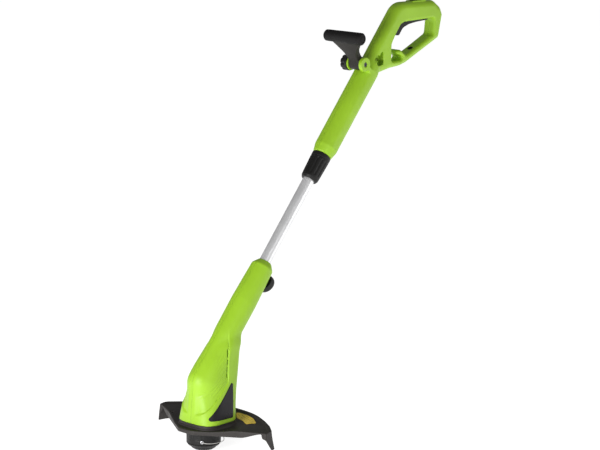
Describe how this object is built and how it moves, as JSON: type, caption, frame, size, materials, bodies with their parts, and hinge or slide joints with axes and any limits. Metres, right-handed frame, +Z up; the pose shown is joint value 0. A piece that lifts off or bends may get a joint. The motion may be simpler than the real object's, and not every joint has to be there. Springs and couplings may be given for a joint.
{
  "type": "string trimmer",
  "caption": "Electric string trimmer with loop handle, telescopic tube, swivelling motor head, guard and bump-feed line spool.",
  "frame": {"origin": "centre of the bump knob's lower face, on the spool axis", "axes": "+Z up along the spool axis, +X back towards the operator, XZ the symmetry plane"},
  "size_m": [0.7646, 0.2884, 0.834],
  "materials": {
    "lime_plastic": "moulded, fine satin grain",
    "black_plastic": "moulded, fine matt grain",
    "black_gloss": "semi-gloss moulded",
    "soft_rubber": "matt rubber",
    "tube_aluminium": "satin drawn tube",
    "steel": "zinc-plated",
    "brass": "turned",
    "copper_winding": "enamelled wire",
    "carbon": "sintered",
    "caution_yellow": "printed label film, no lettering",
    "nylon_line": "translucent grey nylon",
    "grey_plastic": "moulded"
  },
  "bodies": {
    "handle": {"handle_shell_left": "lime_plastic", "handle_shell_right": "lime_plastic", "handle_screws": "steel", "cord_gland": "soft_rubber", "switch_body": "grey_plastic", "terminal_block": "grey_plastic", "tube_collet": "grey_plastic", "pivot_bolt": "steel", "trigger_pin": "steel", "trigger_spring": "steel"},
    "trigger": {"trigger": "black_plastic"},
    "lock_button": {"lock_off_button": "black_plastic"},
    "aux_handle": {"aux_handle_stem": "black_plastic", "aux_grip": "soft_rubber", "aux_grip_caps": "soft_rubber"},
    "clamp_knob": {"clamp_knob": "black_plastic", "knob_insert": "brass"},
    "locking_collar": {"locking_collar": "black_plastic"},
    "tube": {"shaft_tube": "tube_aluminium", "tube_guide": "grey_plastic", "swivel_ferrule": "grey_plastic"},
    "motor_head": {"motor_shell_left": "lime_plastic", "motor_shell_right": "lime_plastic", "head_screws": "steel", "side_badge_left": "black_gloss", "side_badge_right": "black_gloss", "stator": "steel", "field_coils": "copper_winding", "motor_frame": "grey_plastic", "lower_bearing": "steel", "upper_bearing": "steel", "carbon_brushes": "carbon", "suppressor": "grey_plastic", "guard": "black_plastic", "guard_screws": "steel", "line_cutter": "steel", "caution_panel": "caution_yellow", "swivel_bush": "grey_plastic", "button_spring": "steel"},
    "swivel_button": {"swivel_button": "black_plastic"},
    "rotor": {"motor_spindle": "steel", "armature": "steel", "commutator": "brass", "cooling_fan": "black_plastic", "spool_housing": "black_plastic", "spool_cover": "black_plastic", "line_eyelet": "steel", "cutting_line": "nylon_line", "bump_spring": "steel"},
    "spool": {"bump_spool": "black_plastic", "wound_line": "nylon_line"}
  },
  "joints": [
    {"name": "tube_slide", "type": "slide", "parent": "handle", "child": "tube", "axis": [0.6574, 0, 0.7536], "range_m": [0, 0.17]},
    {"name": "collar_twist", "type": "hinge", "parent": "handle", "child": "locking_collar", "pos_m": [0.32211, 0, 0.51865], "axis": [0.6574, 0, 0.7536], "range_deg": [0, 90]},
    {"name": "trigger_squeeze", "type": "hinge", "parent": "handle", "child": "trigger", "pos_m": [0.657, 0, 0.796], "axis": [0, 1, 0], "range_deg": [0, 6], "stiffness_Nm_per_rad": 2, "springref_deg": -11.46, "deforming": ["trigger_spring"]},
    {"name": "lock_off_press", "type": "slide", "parent": "handle", "child": "lock_button", "axis": [0, 0, -1], "range_m": [0, 0.003], "stiffness_N_per_m": 400, "springref_m": -0.003},
    {"name": "aux_handle_tilt", "type": "hinge", "parent": "handle", "child": "aux_handle", "pos_m": [0.44863, 0, 0.71615], "axis": [0, 1, 0], "range_deg": [-35, 40]},
    {"name": "clamp_knob_turn", "type": "hinge", "parent": "handle", "child": "clamp_knob", "pos_m": [0.44863, 0, 0.71615], "axis": [0, 1, 0], "range_deg": [0, 360]},
    {"name": "head_swivel", "type": "hinge", "parent": "tube", "child": "motor_head", "pos_m": [0.13148, 0, 0.30011], "axis": [0.6574, 0, 0.7536], "range_deg": [0, 180]},
    {"name": "swivel_button_press", "type": "slide", "parent": "motor_head", "child": "swivel_button", "axis": [-0.7536, 0, 0.6574], "range_m": [0, 0.003], "stiffness_N_per_m": 400, "springref_m": -0.003},
    {"name": "spool_spin", "type": "hinge", "parent": "motor_head", "child": "rotor", "pos_m": [0, 0, 0.04], "axis": [0, 0, 1], "continuous": true},
    {"name": "spool_bump", "type": "slide", "parent": "rotor", "child": "spool", "axis": [0, 0, 1], "range_m": [0, 0.005], "stiffness_N_per_m": 600, "springref_m": -0.006, "deforming": ["bump_spring"]}
  ]
}
